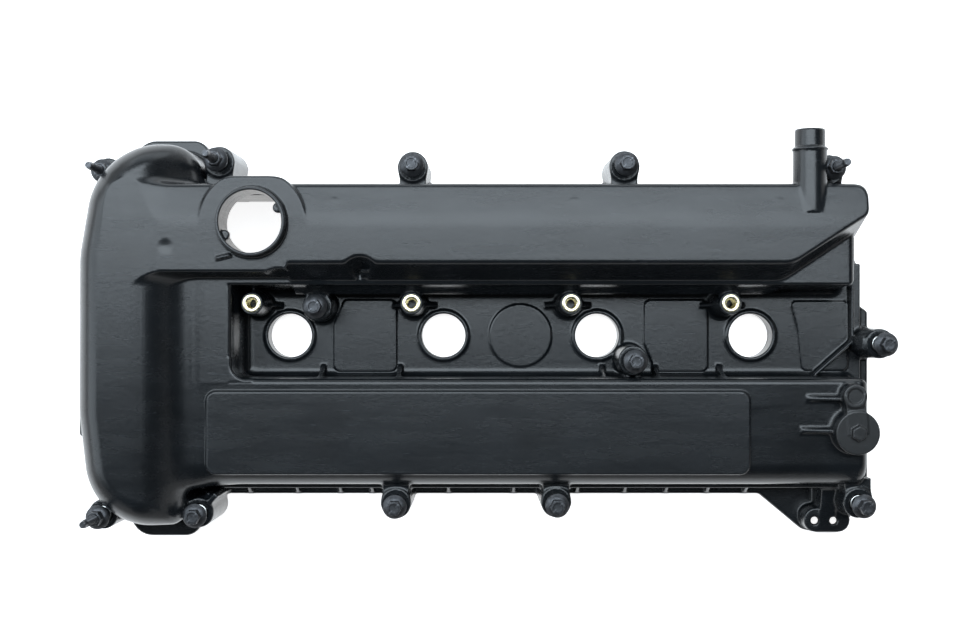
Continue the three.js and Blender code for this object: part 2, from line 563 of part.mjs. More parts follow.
place("cover", moulding(), plastic);
place("perimeter_gasket", sealRing(0, SEAL_DEPTH), rubber);
place("breather_baffle", baffle(), plastic);
place("sensor_port_plug", portPlug(), plastic);
place("sensor_port_insert", portInsert(), brass, EAR.x, EAR.y);
PLUG_X.forEach((x, i) => {
  place(`plug_well_seal_${i + 1}`, plugSeal(), rubber, x, 0);
  place(`coil_insert_${i + 1}`, coilInsert(), brass, x + COIL_OFFSET[0], COIL_OFFSET[1]);
});
BAFFLE_POSTS.forEach(([x, y], i) => place(`baffle_screw_${i + 1}`, baffleScrew(), zinc, x, y));
BOLTS.forEach(({ x, y, stud, top = BOSS_TOP }, i) => {
  place(`${stud ? "stud_bolt" : "bolt"}_${i + 1}`, bolt(top, stud), blackSteel, x, y);
  place(`bolt_sleeve_${i + 1}`, sleeve(top), zinc, x, y);
  place(`bolt_retainer_${i + 1}`, retainingRing(top), nylon, x, y);
});

// The origin goes under the middle of the whole part, on the plane that it lies on.
const extent = new THREE.Box3().setFromObject(assembly);
const middle = extent.getCenter(new THREE.Vector3());
assembly.position.set(-middle.x, -middle.y, -extent.min.z);

export default assembly;
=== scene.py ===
"""The finished look of a black moulded camshaft cover with its captive bolts, on a light table.

The moulding is built as a field of signed distances on a regular grid: negative inside the plastic,
positive outside, in millimetres. Shapes are joined with soft corners, as a moulded part has them,
and the zero level becomes the mesh. Plan places are millimetres from the middle of the spark-plug
row, and heights are from the sealing face."""

import json
import math

import bmesh
import bpy
import numpy as np
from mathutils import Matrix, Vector


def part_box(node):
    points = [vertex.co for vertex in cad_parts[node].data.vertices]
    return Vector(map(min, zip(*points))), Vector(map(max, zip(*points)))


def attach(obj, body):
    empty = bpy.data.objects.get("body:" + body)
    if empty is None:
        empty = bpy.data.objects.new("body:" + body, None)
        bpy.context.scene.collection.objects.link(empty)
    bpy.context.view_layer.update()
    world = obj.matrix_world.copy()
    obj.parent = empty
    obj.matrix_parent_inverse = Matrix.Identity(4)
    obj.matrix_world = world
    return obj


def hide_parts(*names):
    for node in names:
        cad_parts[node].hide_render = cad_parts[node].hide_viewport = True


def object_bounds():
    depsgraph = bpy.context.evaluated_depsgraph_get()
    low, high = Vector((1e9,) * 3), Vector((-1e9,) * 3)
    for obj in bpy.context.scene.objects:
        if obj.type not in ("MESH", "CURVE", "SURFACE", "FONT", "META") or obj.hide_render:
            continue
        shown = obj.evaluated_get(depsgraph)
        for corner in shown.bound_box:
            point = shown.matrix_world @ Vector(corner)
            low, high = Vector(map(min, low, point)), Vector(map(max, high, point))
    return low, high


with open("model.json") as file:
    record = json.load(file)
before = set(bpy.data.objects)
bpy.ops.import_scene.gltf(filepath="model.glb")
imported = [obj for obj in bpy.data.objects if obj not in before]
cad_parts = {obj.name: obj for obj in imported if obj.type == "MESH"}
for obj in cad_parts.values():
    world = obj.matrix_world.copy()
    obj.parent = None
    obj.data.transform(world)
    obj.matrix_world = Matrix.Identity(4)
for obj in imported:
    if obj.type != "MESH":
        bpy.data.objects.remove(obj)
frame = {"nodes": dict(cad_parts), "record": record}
cad_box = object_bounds()

MM = 0.001

# ------------------------------------------------------------------ places taken from the frame
NODES = sorted(frame["nodes"])


def middle(node):
    low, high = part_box(node)
    return (low + high) / 2


WELL_SEALS = [n for n in NODES if n.startswith("plug_well_seal")]
ORIGIN = sum((middle(n) for n in WELL_SEALS), Vector()) / len(WELL_SEALS)
ORIGIN.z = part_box("cover")[0].z


def design(node):
    """The middle of a CAD node, in millimetres from the cover's own origin."""
    return (middle(node) - ORIGIN) / MM


def heights(node):
    """The lowest and highest points of a CAD node, in millimetres from the sealing face."""
    low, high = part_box(node)
    return (low.z - ORIGIN.z) / MM, (high.z - ORIGIN.z) / MM


def top_of(node):
    return heights(node)[1]


def plug_places():
    """The middles of the sensor port plug's disc and of the ear beside it."""
    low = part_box("sensor_port_plug")[0]
    return Vector((PORT.x, (low.y - ORIGIN.y) / MM + PLUG_R)), design("sensor_port_insert")


WELLS = [design(n) for n in WELL_SEALS]
COIL_INSERTS = [n for n in NODES if n.startswith("coil_insert")]
SLEEVES = [n for n in NODES if n.startswith("bolt_sleeve")]
BAFFLE_SCREWS = [n for n in NODES if n.startswith("baffle_screw")]

# ------------------------------------------------------------------ the moulding's dimensions
STEP = 0.9  # spacing of the cover's grid
COVER_FACES = 198000
PLUG_STEP = 0.5  # spacing of the sensor port plug's grid
PLUG_FACES = 16000

WALL = 3.0
FILLET = 2.5
THROUGH = 9.0  # how far a hole is cut past the face that it opens
BELOW = -60.0  # the main volumes are drawn down to here, well past the sealing face
FAR = 900.0  # more than any distance in the field

# Heights
FLANGE_TOP = 8.0
RIB_FOOT = 10.0  # posts and ribs in the trough start here, a little below its floor
FLOOR_TOP = 16.0
BRACKET_TOP = 24.0
LEDGE_Z = 33.0  # top of the low wall along the exhaust side
BOSS_TOP = 46.0
ROOF_FOOT = 50.0  # what stands on the roofs starts here, and the hollow below cuts it off
ROOF_TOP = 58.0
PORT_TOP = 67.7
BOX_TOP = 75.0
FILLER_TOP = 84.0

# The rim: flange, seal groove, tab, the low wall behind the gussets, and the bracket pad
FLANGE = [
    (-271, -74, 22), (-240, -126.6, 14), (-205, -126.6, 10), (-192, -100, 4), (151, -100, 4),
    (178, -122.5, 6), (188, -124.8, 4), (203, -124.8, 5), (213, -108, 4), (219.8, -98, 4),
    (219.8, 15, 2), (211.8, 21, 2), (211.8, 96, 6), (-189, 96, 4), (-199, 123, 10),
    (-238, 123, 14), (-271, 62, 22),
]
SEAL = [
    (-265.5, -72, 20), (-237, -120, 14), (-208, -120, 8), (-198, -94.3, 4), (209.5, -94.3, 6),
    (209.5, 90.3, 6), (-196, 90.3, 4), (-205, 116, 8), (-236, 116, 14), (-265.5, 60, 20),
]
SEAL_WIDTH = 3.0
GASKET_GROOVE = 3.5
TAB = [(-279.3, -64.4, 2), (-262, -64.4, 2), (-262, -41.6, 2), (-279.3, -41.6, 2)]
TAB_TOP = 5.0
LOW_WALL = [(-185, -93.4, 2), (200, -93.4, 2), (200, -80, 2), (-185, -80, 2)]
FLANGE_GUSSETS_X = (-170, -140, -113, -93, -45, -4, 36, 66, 92, 118, 142)
FLANGE_GUSSET = 1.8
GUSSET_END_Y = -99.6
BRACKET = [(175.8, -121.9, 7.2), (204.3, -121.9, 7.2), (204.3, -106.7, 7.2), (175.8, -106.7, 7.2)]
BRACKET_POCKET = [(179, -120.4, 4), (202.5, -120.4, 4), (202.5, -109, 4), (179, -109, 4)]
BRACKET_HOLES = [(182.4, -114.7), (193.9, -114.7)]
BRACKET_HOLE_R = 2.3

# The dome over the timing chain, which slopes down between SLOPE_END_X and DOME_END_X
TIMING = [
    (-263, 48, 60), (-263.3, -45, 80), (-255.6, -112.6, 40), (-203.5, -112.6, 7),
    (-201, -92, 5), (-173, -86, 5), (-173, 80, 5), (-190, 86, 8), (-197, 114.6, 18),
    (-251.7, 114.6, 45),
]
DOME_END_X = -229.0
SLOPE_END_X = -178.0
DOME_SINK = 13.0  # how far below the roof the dome's slope runs out, hidden inside the ridges
DOME_EDGE = 17.0
LEAST_EDGE = 0.4  # the share of that radius which is left at the foot of the slope
SLOPE_COS = 0.85  # turns height above the sloping top into distance from it
DOME_FILLET = 8
DIMPLE = (-208.4, 52.8)
DIMPLE_R, DIMPLE_DEPTH = 12.0, 0.5

# The two ridges over the camshafts, and the roof that joins them
RIDGE_START_X = -232.0
INTAKE_SECTION = [(22.6, BELOW, 0), (88, BELOW, 0), (88, ROOF_TOP, 6), (30.6, ROOF_TOP, 1)]
EXHAUST_SECTION = [(-90.8, BELOW, 0), (-25.2, BELOW, 0), (-25.2, ROOF_TOP, 3), (-89.4, 56.5, 14)]
INTAKE_ENDS = (RIDGE_START_X, 198)
EXHAUST_ENDS = (RIDGE_START_X, 206.5)
INTAKE_EDGE, EXHAUST_EDGE = 4, 6
BRIDGE_SIDES = (-28.4, 33.0)

# The breather box: its section, the top of its near wall, and how far that wall leans. Towards
# the timing end the wall stands further out and is nearly upright.
BOX_ENDS = (-240, 202)
BOX_LOW = 44.0  # the box starts here, mostly hidden inside the intake ridge
BOX_REAR_Y = 90.0
BOX_SECTION = [
    (-60, 40, 0), (BOX_REAR_Y, 40, 0), (BOX_REAR_Y, 71.5, 3), (68, BOX_TOP, 60), (-60, BOX_TOP, 0),
]
BOX_FRONT_Y, BOX_FRONT_LEAN = 42.9, 0.58
STEP_X, STEP_FRONT_Y, STEP_LEAN = -138.0, 37.6, 0.14
BOX_CHAMFER = ((158, 42.9), (202, 72))
CHAMFER_LEAN = 0.34
BOX_FILLET = 1.5
COIL_DENT = Vector((1.5, 26.6, 72))  # from each well to the hollow that clears its ignition coil
COIL_DENT_R = 13.0
NOTCH = Vector((-95.3, 36.1))
NOTCH_R, NOTCH_LEAN = 10.8, 0.5
PILOT_R, BAFFLE_POST_R, BAFFLE_TOP = 1.7, 4.2, 49.3

# The spark-plug trough, with its wells, coil posts, pads and ribs
TROUGH_START_X = -173.2
TROUGH_ENDS = (-180, 213)
TROUGH_HALF_WIDTH = 45.0
TROUGH_WALL_Y = 31.0  # inside the trough's intake wall, where the ties of the coil posts end
FLOOR_FILLET = 5
WELL_BORE = 13.6
WELL_RING = 15.9
WELL_TUBE_LOW = 2.6
COIL_POST_R, COIL_POST_DRAFT, COIL_HOLE_R = 6.7, 0.045, 5.2
DISC_R, DISC_PROUD = 19.7, 0.9  # the disc in the middle of the floor
PADS = [
    [(-116.6, -22.4, 4), (-77.3, -22.4, 4), (-77.3, 22.2, 4), (-110, 22.2, 3), (-116.6, 7.7, 3)],
    [(84.5, -22.4, 3), (117.2, -22.4, 4), (117.2, 22.2, 4), (77.5, 22.2, 4), (77.5, -5, 3)],
    [(176, -22, 4), (205, -22, 4), (205, 21.6, 3), (168.8, 21.6, 3), (173.4, 4, 12)],
]
PAD_PROUD = 1.3
FLOOR_RIB = 2.0  # thickness of the ribs that stand on the trough floor
TROUGH_GUSSETS_X = (-123, -75, 51, 84, 124)
END_RIB = ((206, 31), (206, -3.6), (179.5, -27))
END_RIB_TOP = FLOOR_TOP + 8

# The bosses of the bolts
BOSS_R = 9.0
BOSS_DRAFT = 0.012
SLEEVE_HOLE = 5.5
SLEEVE_PROUD = 0.6
SEAT_R = 8.0  # kept clear above every boss, for the bolt's flange to come down to its seat
RIDGE_WEB, END_WEB = 16.0, 8.0  # widths of the webs that tie a boss to the wall beside it
RIDGE_WALL_Y = 86.0
END_WALL_X = 206.0
DOME_BOSSES_X = -206.0  # bosses beyond this stand against the dome
TIE_REACH, TIE_LEAN, TIE_TOP = 17, 6, 44  # from a boss in the trough to the wall beside it

# The panel on the exhaust roof, and the sensor port with the ear beside it
PANEL = [(-188.2, -82.4, 6), (135.4, -82.4, 6), (135.4, -32.6, 6), (-188.2, -32.6, 6)]
PANEL_PROUD = 1.2
PORT = design("sensor_port_plug")
PORT_R, PORT_BORE = 12.0, 8.5
EAR_R, EAR_BORE = 6.4, 3.9
PORT_FOOT, EAR_FOOT = 38, 44  # where the two posts start, well below the roof
PLUG_R = 13.2

# The oil filler on its plinth
FILLER = Vector((-157.8, 66.6))
FILLER_BORE = 18.1
FILLER_NECK = 20.2
FILLER_TUBE_LOW = 55.0
LUG_ANGLES = (28, 206)
LUG_R, LUG_REACH = 3.0, 17.4
LUG_HEIGHTS = (74, 79)
PLINTH_R = 31.5
PLINTH_LOW_Y, PLINTH_FLAT_Y = 60.0, 93.8
STOP_RIB = ((-178.5, 45.6), (-170.2, 47.6))

# The breather spigot, which lies along y
SPIGOT_X, SPIGOT_Z, SPIGOT_R, SPIGOT_END_R, SPIGOT_BORE = 169.2, 65.2, 9.9, 8.9, 6.5
SPIGOT_ROOT_Y, SPIGOT_STEP_Y, SPIGOT_END_Y = 73.0, 111.0, 122.0
BEAD_PROUD, BEAD_WIDTH = 0.7, 1.6


# ------------------------------------------------------------------ distance functions
def arc_corners(corners, spacing=1.0):
    """The corners [x, y, radius] as a closed line of points, with each corner rounded."""
    points = []
    for i, (x, y, r) in enumerate(corners):
        here = Vector((x, y))
        back = (Vector(corners[i - 1][:2]) - here).normalized()
        on = (Vector(corners[(i + 1) % len(corners)][:2]) - here).normalized()
        if r == 0:
            points.append(here)
            continue
        half = math.acos(max(-1, min(1, back.dot(on)))) / 2
        centre = here + (back + on).normalized() * (r / math.sin(half))
        start = here + back * (r / math.tan(half)) - centre
        sweep = math.pi - 2 * half
        turn = sweep if back.x * on.y - back.y * on.x < 0 else -sweep
        count = max(2, int(r * sweep / spacing))
        for k in range(count + 1):
            a = turn * k / count
            points.append(centre + Vector((
                start.x * math.cos(a) - start.y * math.sin(a),
                start.x * math.sin(a) + start.y * math.cos(a))))
    return points


def polygon(corners, u, v):
    """Distance from (u, v) to a rounded outline, negative inside it."""
    points = arc_corners(corners)
    nearest = np.full(np.broadcast(u, v).shape, np.inf, np.float32)
    inside = np.zeros(nearest.shape, bool)
    for a, b in zip(points, points[1:] + points[:1]):
        side = b - a
        if side.length < 1e-6:
            continue
        along = np.clip(((u - a.x) * side.x + (v - a.y) * side.y) / side.length_squared, 0, 1)
        np.minimum(nearest, (u - a.x - along * side.x) ** 2 + (v - a.y - along * side.y) ** 2, out=nearest)
        if a.y != b.y:
            crosses = ((v < a.y) != (v < b.y)) & (u < a.x + (v - a.y) * side.x / side.y)
            inside ^= crosses
    distance = np.sqrt(nearest)
    return np.where(inside, -distance, distance).astype(np.float32)


def rounded(flat, over, edge):
    """The corner between two limits, with a rounded edge between them."""
    a, b = flat + edge, over + edge
    outside = np.hypot(np.maximum(a, 0), np.maximum(b, 0))
    return np.minimum(np.maximum(a, b), 0) + outside - edge


def blended(a, b, soft):
    """The union of two shapes, with a fillet of about `soft` where they meet."""
    near = np.maximum(soft - np.abs(a - b), 0) / soft
    return np.minimum(a, b) - near * near * soft / 4


def span(value, low, high):
    """Distance to the slab between two limits."""
    return np.maximum(low - value, value - high)


def post(cx, cy, r, low, high, draft=0.0, edge=0.8):
    """An upright round post that widens downwards by `draft` for each millimetre."""
    def shape(x, y, z):
        wall = np.hypot(x - cx, y - cy) - r - draft * (high - z)
        return np.maximum(rounded(wall, z - high, edge), low - z)
    reach = r + draft * (high - low)
    return shape, (cx - reach, cy - reach, low), (cx + reach, cy + reach, high)


def ball(cx, cy, cz, r):
    def shape(x, y, z):
        return np.sqrt((x - cx) ** 2 + (y - cy) ** 2 + (z - cz) ** 2) - r
    return shape, (cx - r, cy - r, cz - r), (cx + r, cy + r, cz + r)


def rib(start, end, low, heights, thickness, draft=0.01):
    """A thin upright wall between two plan points, with its own height at each end."""
    (x0, y0), (x1, y1) = start, end
    length = math.hypot(x1 - x0, y1 - y0)
    ux, uy = (x1 - x0) / length, (y1 - y0) / length
    slope = (heights[1] - heights[0]) / length
    top = max(heights)

    def shape(x, y, z):
        along = (x - x0) * ux + (y - y0) * uy
        across = np.abs((y - y0) * ux - (x - x0) * uy) - thickness / 2 - draft * (top - z)
        over = (z - heights[0] - slope * along) / math.hypot(1, slope)
        return np.maximum(np.maximum(rounded(across, over, 0.5), low - z), span(along, 0, length))
    pad = thickness
    return shape, (min(x0, x1) - pad, min(y0, y1) - pad, low), (max(x0, x1) + pad, max(y0, y1) + pad, top)


def slab(corners, low, high, edge):
    """An outline raised between two heights."""
    def shape(x, y, z):
        return np.maximum(rounded(polygon(corners, x, y), z - high, edge), low - z)
    xs, ys = [c[0] for c in corners], [c[1] for c in corners]
    return shape, (min(xs), min(ys), low), (max(xs), max(ys), high)


class Moulding:
    """Signed distances on a grid, which shapes are added to and cut from."""

    def __init__(self, low, high, step):
        self.step = step
        self.axes = [np.arange(a, b, step, dtype=np.float32) for a, b in zip(low, high)]
        self.d = np.full([len(a) for a in self.axes], FAR, np.float32)

    def window(self, low, high, margin):
        parts = [
            slice(int(np.searchsorted(axis, a - margin)), int(np.searchsorted(axis, b + margin)))
            for axis, a, b in zip(self.axes, low, high)
        ]
        x, y, z = (axis[p] for axis, p in zip(self.axes, parts))
        return tuple(parts), x[:, None, None], y[None, :, None], z[None, None, :]

    def add(self, made, soft=FILLET):
        shape, low, high = made
        part, x, y, z = self.window(low, high, soft + 2 * self.step)
        self.d[part] = blended(self.d[part], shape(x, y, z), soft)

    def cut(self, made, soft=0.6):
        shape, low, high = made
        part, x, y, z = self.window(low, high, soft + 2 * self.step)
        self.d[part] = -blended(-self.d[part], shape(x, y, z), soft)

    def level_off(self, top):
        np.maximum(self.d, self.axes[2] - top, out=self.d)


# ------------------------------------------------------------------ the main volumes
def smooth_step(value, start, end):
    t = np.clip((value - start) / (end - start), 0, 1)
    return t * t * (3 - 2 * t)


def dome(x, y, z):
    """The dome over the timing chain, which slopes down into the ridges."""
    rise = smooth_step(x, SLOPE_END_X, DOME_END_X)
    top = ROOF_TOP - DOME_SINK + (BOX_TOP - ROOF_TOP + DOME_SINK) * rise
    return rounded(polygon(TIMING, x, y), (z - top) * SLOPE_COS, DOME_EDGE * np.maximum(rise, LEAST_EDGE))


def bridge(x, y, z):
    """The roof that joins the two ridges between the dome and the trough."""
    roof = rounded(span(x, RIDGE_START_X, TROUGH_START_X), z - ROOF_TOP, 3)
    return np.maximum(roof, span(y, *BRIDGE_SIDES))


def breather_box(x, y, z):
    """The raised box. Its near wall has a step, a chamfered end, four hollows and a notch."""
    drop = BOX_TOP - z
    later = smooth_step(x, STEP_X - 1.5, STEP_X + 1.5)
    lean = STEP_LEAN + (BOX_FRONT_LEAN - STEP_LEAN) * later
    front = STEP_FRONT_Y + (BOX_FRONT_Y - STEP_FRONT_Y) * later
    near = (front - y - drop * lean) / np.hypot(1, lean)
    (x0, y0), (x1, y1) = BOX_CHAMFER
    length = math.hypot(x1 - x0, y1 - y0)
    away = ((x - x0) * (y1 - y0) - (y - y0) * (x1 - x0)) / length
    corner = (away - drop * CHAMFER_LEAN) / math.hypot(1, CHAMFER_LEAN)
    front_wall = -blended(-near, -corner, 3)
    for well in WELLS:
        dent, _, _ = ball(well.x + COIL_DENT.x, COIL_DENT.y, COIL_DENT.z, COIL_DENT_R)
        front_wall = -blended(-front_wall, dent(x, y, z), 1.5)
    notch = NOTCH_R - NOTCH_LEAN * drop - np.hypot(x - NOTCH.x, y - NOTCH.y)
    front_wall = -blended(-front_wall, -notch, 2)
    plan = -blended(-front_wall, -span(x, *BOX_ENDS), 3)
    plan = -blended(-plan, BOX_REAR_Y - y, 10)
    return np.maximum(rounded(plan, polygon(BOX_SECTION, y, z), 1.4), BOX_LOW - z)


def main_volumes(x, y, z):
    """The outer form without its details. Moved inwards by the wall, it is also the inner form."""
    intake = rounded(polygon(INTAKE_SECTION, y, z), span(x, *INTAKE_ENDS), INTAKE_EDGE)
    exhaust = rounded(polygon(EXHAUST_SECTION, y, z), span(x, *EXHAUST_ENDS), EXHAUST_EDGE)
    floor = np.maximum(np.maximum(np.abs(y) - TROUGH_HALF_WIDTH, span(x, *TROUGH_ENDS)), z - FLOOR_TOP)
    ridges = np.minimum(np.minimum(intake, exhaust), bridge(x, y, z))
    ridges = blended(ridges, breather_box(x, y, z), BOX_FILLET)
    ridges = np.maximum(blended(ridges, dome(x, y, z), DOME_FILLET), z - BOX_TOP)
    return blended(ridges, floor, FLOOR_FILLET)


# ------------------------------------------------------------------ features of the moulding
def trough_boss_ties(m, at, low):
    """A foot down to the sealing face and two ribs to the wall of the trough."""
    m.add(post(at.x, at.y, SLEEVE_HOLE + 1.6, 0, FLOOR_TOP))
    side = math.copysign(TIE_REACH, at.y)
    for lean in (-TIE_LEAN, TIE_LEAN):
        m.add(rib((at.x, at.y), (at.x + lean, at.y + side), low, (TIE_TOP, TIE_TOP), 2.2), 1.5)


def dome_boss_ties(m, at, top):
    """Two ribs that tie a boss to the flank of the dome."""
    inward = math.copysign(11, -at.y)
    m.add(rib((at.x, at.y), (at.x + 11, at.y + inward), 0, (top - 1, top + 2), 3.4))
    m.add(rib((at.x - 4, at.y), (at.x + 6, at.y + inward), 0, (top - 16, top - 2), 3.0))


def bosses(m):
    """The thirteen bosses that the bolts pass through, each tied to the wall beside it."""
    for node in SLEEVES:
        at = design(node)
        in_trough = abs(at.y) < TROUGH_HALF_WIDTH and at.x < TROUGH_ENDS[1]
        beside_dome = at.x < DOME_BOSSES_X or at.x < TROUGH_ENDS[0] and at.y < 0
        low = FLOOR_TOP - 4 if in_trough else 0.0
        top = top_of(node) - SLEEVE_PROUD
        level = (top - 1, top - 1)
        m.add(post(at.x, at.y, BOSS_R, low, top, draft=BOSS_DRAFT))
        if in_trough:
            trough_boss_ties(m, at, low)
        elif at.x > TROUGH_ENDS[1]:
            m.add(rib((at.x, at.y), (END_WALL_X, at.y), 0, level, END_WEB), 1.5)
        elif beside_dome:
            dome_boss_ties(m, at, top)
        else:
            wall_y = math.copysign(RIDGE_WALL_Y, at.y)
            m.add(rib((at.x, at.y), (at.x, wall_y), 0, level, RIDGE_WEB))


def coil_posts(m):
    """The posts that the coils screw down on, each with a tie to the wall and two gussets."""
    for node in COIL_INSERTS:
        at = design(node)
        m.add(post(at.x, at.y, COIL_POST_R, RIB_FOOT, top_of(node) - 0.4, draft=COIL_POST_DRAFT))
        m.add(rib((at.x, at.y), (at.x, TROUGH_WALL_Y), RIB_FOOT, (46, 42), FLOOR_RIB), 1.5)
        for reach in (-14, 14):
            m.add(rib((at.x, at.y), (at.x + reach, at.y - 1), RIB_FOOT, (38, 17), FLOOR_RIB), 1.5)


def floor_details(m):
    """On the trough floor: the rims of the plug wells, the pads, the gussets and the end rib."""
    for well in WELLS:
        m.add(post(well.x, well.y, WELL_RING, WELL_TUBE_LOW, FLOOR_TOP + 1.5, draft=0.03), 1.5)
    inside = FLOOR_TOP - WALL + 1
    m.add(post(0, 0, DISC_R, inside, FLOOR_TOP + DISC_PROUD, edge=0.4), 0.5)
    for pad in PADS:
        m.add(slab(pad, inside, FLOOR_TOP + PAD_PROUD, 0.5), 0.5)
    for x in TROUGH_GUSSETS_X:
        m.add(rib((x, -27), (x, -18.5), RIB_FOOT, (BOSS_TOP, FLOOR_TOP + 1), FLOOR_RIB), 1.5)
    for start, end in zip(END_RIB, END_RIB[1:]):
        m.add(rib(start, end, RIB_FOOT, (END_RIB_TOP, END_RIB_TOP), FLOOR_RIB), 1)
    # The rounded corner where the trough meets the bridge and the exhaust ridge
    corner = [(-176, -28, 0), (-160, -28, 0), (-160, -25.2, 0), (TROUGH_START_X, -25.2, 9),
              (TROUGH_START_X, -12, 0), (-176, -12, 0)]
    m.add(slab(corner, RIB_FOOT, ROOF_TOP, 2), 0.8)


def flange_details(m):
    """The flange with its tab and gussets, and the bracket pad at the far corner."""
    m.add(slab(FLANGE, 0, FLANGE_TOP, 1.2), 3)
    m.add(slab(TAB, 0, TAB_TOP, 0.8), 1)
    for x in FLANGE_GUSSETS_X:
        m.add(rib((x, -RIDGE_WALL_Y), (x, GUSSET_END_Y), 4, (LEDGE_Z + 2, FLANGE_TOP), FLANGE_GUSSET), 1.5)
    m.add(slab(BRACKET, 2, BRACKET_TOP, 1), 1.5)
    m.add(rib((190, -118), (190, -90), 4, (BRACKET_TOP - 1, BRACKET_TOP + 6), 9), 3)


def roof_details(m):
    """The raised panel, and the seat of the sensor port's plug with its ear and two long ribs."""
    m.add(slab(PANEL, ROOF_FOOT, ROOF_TOP + PANEL_PROUD, 0.4), 0.4)
    disc, ear = plug_places()
    below_top = PORT_TOP - 1
    m.add(post(disc.x, disc.y, PORT_R, PORT_FOOT, PORT_TOP, draft=0.06), 3)
    m.add(post(ear.x, ear.y, EAR_R, EAR_FOOT, PORT_TOP, draft=0.03), 2)
    m.add(rib((ear.x, ear.y), (disc.x, disc.y), EAR_FOOT, (below_top, below_top), 10), 1.5)
    for x, y, reach in ((disc.x, disc.y + 0.5, 30), (ear.x, ear.y - 2, 25)):
        m.add(rib((x - reach, y), (x, y), ROOF_FOOT, (ROOF_TOP, below_top), 2.2), 2)


def filler(m):
    """The round plinth, the filler neck and the small stop rib beside them."""
    def plinth(x, y, z):
        disc = np.hypot(x - FILLER.x, y - FILLER.y) - PLINTH_R
        plan = -blended(-disc, PLINTH_FLAT_Y - y, 3)
        return np.maximum(rounded(plan, z - BOX_TOP, 1.2), np.maximum(ROOF_FOOT - z, PLINTH_LOW_Y - y))
    m.add((plinth, (FILLER.x - 32, PLINTH_LOW_Y, ROOF_FOOT), (FILLER.x + 32, PLINTH_FLAT_Y, BOX_TOP)), 1)
    m.level_off(BOX_TOP)
    m.add(post(FILLER.x, FILLER.y, FILLER_NECK, ROOF_FOOT, FILLER_TOP, draft=0.01, edge=0.8), 1.5)
    m.add(rib(*STOP_RIB, BOX_TOP - 3, (BOX_TOP + 2, BOX_TOP + 1.4), 1.8), 0.6)


def lying_tube(r, start, end, edge):
    """A round bar along y, on the axis of the breather spigot."""
    def shape(x, y, z):
        wall = np.hypot(x - SPIGOT_X, z - SPIGOT_Z) - r
        return np.maximum(rounded(wall, y - end, edge), start - y)
    low = (SPIGOT_X - r, start, SPIGOT_Z - r)
    return shape, low, (SPIGOT_X + r, end, SPIGOT_Z + r)


def spigot(m):
    """The breather spigot: a root, a thinner end for the hose, and a bead between them."""
    m.add(lying_tube(SPIGOT_R, SPIGOT_ROOT_Y, SPIGOT_STEP_Y, 0.4), 1.2)
    m.add(lying_tube(SPIGOT_END_R, SPIGOT_STEP_Y - 1, SPIGOT_END_Y, 0.8), 0.4)
    m.add(lying_tube(SPIGOT_R + BEAD_PROUD, SPIGOT_STEP_Y - BEAD_WIDTH, SPIGOT_STEP_Y, 0.5), 0.3)


def openings(m):
    """Everything that is cut through or into the moulding."""
    disc, ear = plug_places()
    for node in SLEEVES:
        at = design(node)
        seat = top_of(node) - SLEEVE_PROUD
        m.cut(post(at.x, at.y, SLEEVE_HOLE, -THROUGH, BOSS_TOP + THROUGH, edge=0))
        m.cut(post(at.x, at.y, SEAT_R, seat, seat + 18, edge=0), 0.3)
    for well in WELLS:
        m.cut(post(well.x, well.y, WELL_BORE, -THROUGH, FLOOR_TOP + THROUGH, edge=0))
    for node in COIL_INSERTS:
        at = design(node)
        m.cut(post(at.x, at.y, COIL_HOLE_R, 36, 60, edge=0), 0.4)
    m.cut(post(FILLER.x, FILLER.y, FILLER_BORE, 20, 99, edge=0), 0.8)
    m.cut(post(disc.x, disc.y, PORT_BORE, 20, 90, edge=0), 0.4)
    m.cut(post(ear.x, ear.y, EAR_BORE, PORT_TOP - 12, 90, edge=0), 0.4)
    m.cut(slab(BRACKET_POCKET, -THROUGH, BRACKET_TOP - WALL, 1))
    for x, y in BRACKET_HOLES:
        m.cut(post(x, y, BRACKET_HOLE_R, -THROUGH, 40, edge=0), 0.8)
    for node in BAFFLE_SCREWS:
        at = design(node)
        m.cut(post(at.x, at.y, PILOT_R, 40, top_of(node) + 1, edge=0), 0.3)
    m.cut(lying_tube(SPIGOT_BORE, SPIGOT_ROOT_Y, SPIGOT_END_Y + THROUGH, 0), 0.8)

    def groove(x, y, z):
        line = polygon(SEAL, x, y)
        return np.maximum(span(line, -SEAL_WIDTH - 0.3, 0.3), z - GASKET_GROOVE)
    m.cut((groove, (-265, -123, -5), (213, 119, GASKET_GROOVE)), 0.4)


def lugs(m):
    """The bayonet lugs inside the filler neck."""
    for angle in LUG_ANGLES:
        a = math.radians(angle)
        at = (FILLER.x + LUG_REACH * math.cos(a), FILLER.y + LUG_REACH * math.sin(a))
        m.add(post(*at, LUG_R, *LUG_HEIGHTS, edge=0.6), 0.8)


def cover_field():
    low, high = ((v - ORIGIN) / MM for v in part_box("cover"))
    margin = 3 * STEP
    m = Moulding([c - margin for c in low], [c + margin for c in high], STEP)
    _, x, y, z = m.window(low, high, 4 * margin)
    volumes = main_volumes(x, y, z)
    m.d = volumes.copy()
    m.add(slab(LOW_WALL, 0, LEDGE_Z, 1.0), 1.5)
    flange_details(m)
    roof_details(m)
    filler(m)
    spigot(m)
    np.maximum(m.d, -(volumes + WALL), out=m.d)
    m.add(post(FILLER.x, FILLER.y, FILLER_NECK, FILLER_TUBE_LOW, BOX_TOP - 1), 1)
    m.add(rib((-91, 29), (-91, 39), 46, (50, 66), 9), 1)
    bosses(m)
    coil_posts(m)
    floor_details(m)
    for node in BAFFLE_SCREWS:
        at = design(node)
        m.add(post(at.x, at.y, BAFFLE_POST_R, BAFFLE_TOP, BOX_TOP - WALL, edge=0.3), 2)
    openings(m)
    lugs(m)
    m.cut(ball(*DIMPLE, BOX_TOP + DIMPLE_R - DIMPLE_DEPTH, DIMPLE_R), 0.6)
    np.maximum(m.d, -z, out=m.d)
    return m


